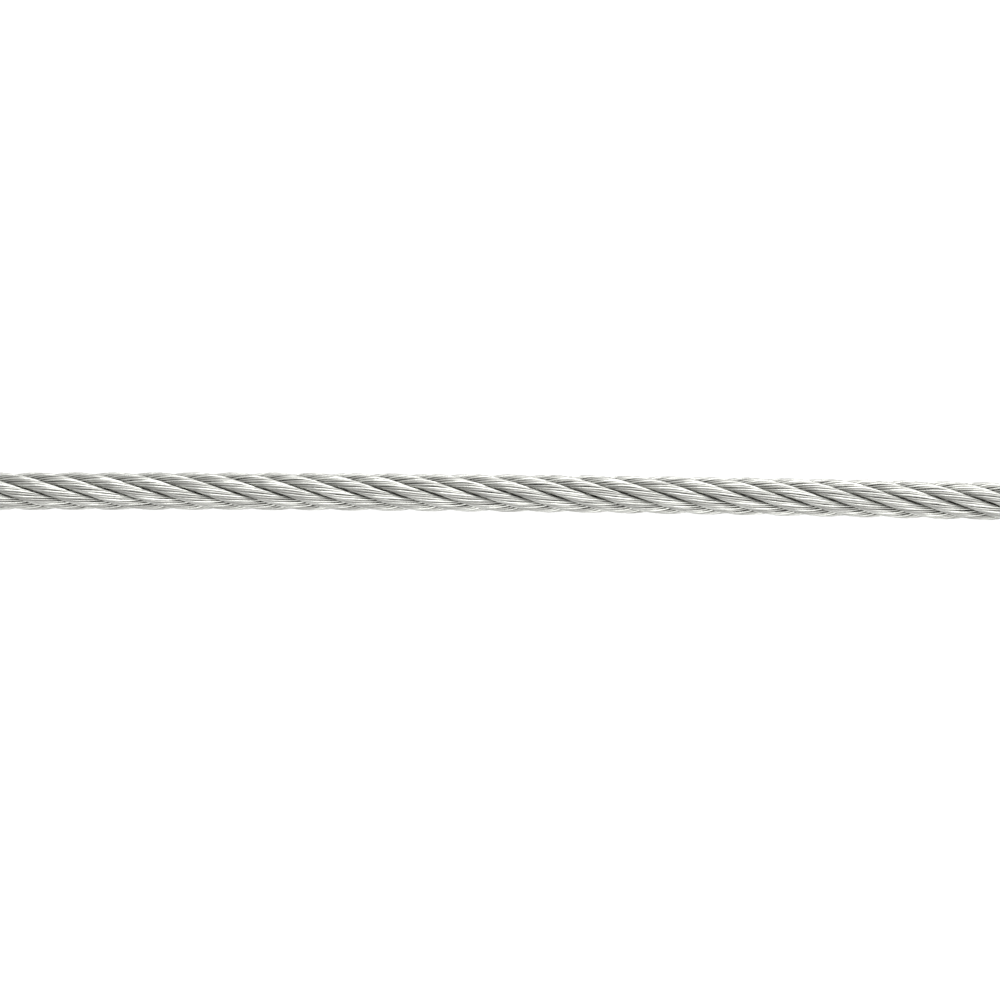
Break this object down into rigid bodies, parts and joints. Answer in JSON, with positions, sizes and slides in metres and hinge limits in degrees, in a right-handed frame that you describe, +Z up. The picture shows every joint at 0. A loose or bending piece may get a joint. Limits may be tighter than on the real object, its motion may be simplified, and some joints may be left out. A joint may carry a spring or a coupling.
{
  "type": "wire rope",
  "caption": "Galvanised stranded steel wire rope with a plain cut end, run out nearly straight and put away in a small round coil tied with wire.",
  "frame": {"origin": "centre of the part's box, on the floor it lies on", "axes": "+X along the straight run, from the cut end towards the coil; +Z up"},
  "size_m": [0.2516, 0.08, 0.0146],
  "materials": {
    "rope_wire": "hot-dip galvanised and drawn, soft grey shine",
    "tie_wire": "soft annealed galvanised wire, dull grey"
  },
  "bodies": {
    "root": {"core_strand": "rope_wire", "outer_strand_1": "rope_wire", "outer_strand_2": "rope_wire", "outer_strand_3": "rope_wire", "outer_strand_4": "rope_wire", "outer_strand_5": "rope_wire", "outer_strand_6": "rope_wire", "coil": "rope_wire", "tie_1": "tie_wire", "tie_2": "tie_wire", "tie_3": "tie_wire"}
  },
  "joints": []
}
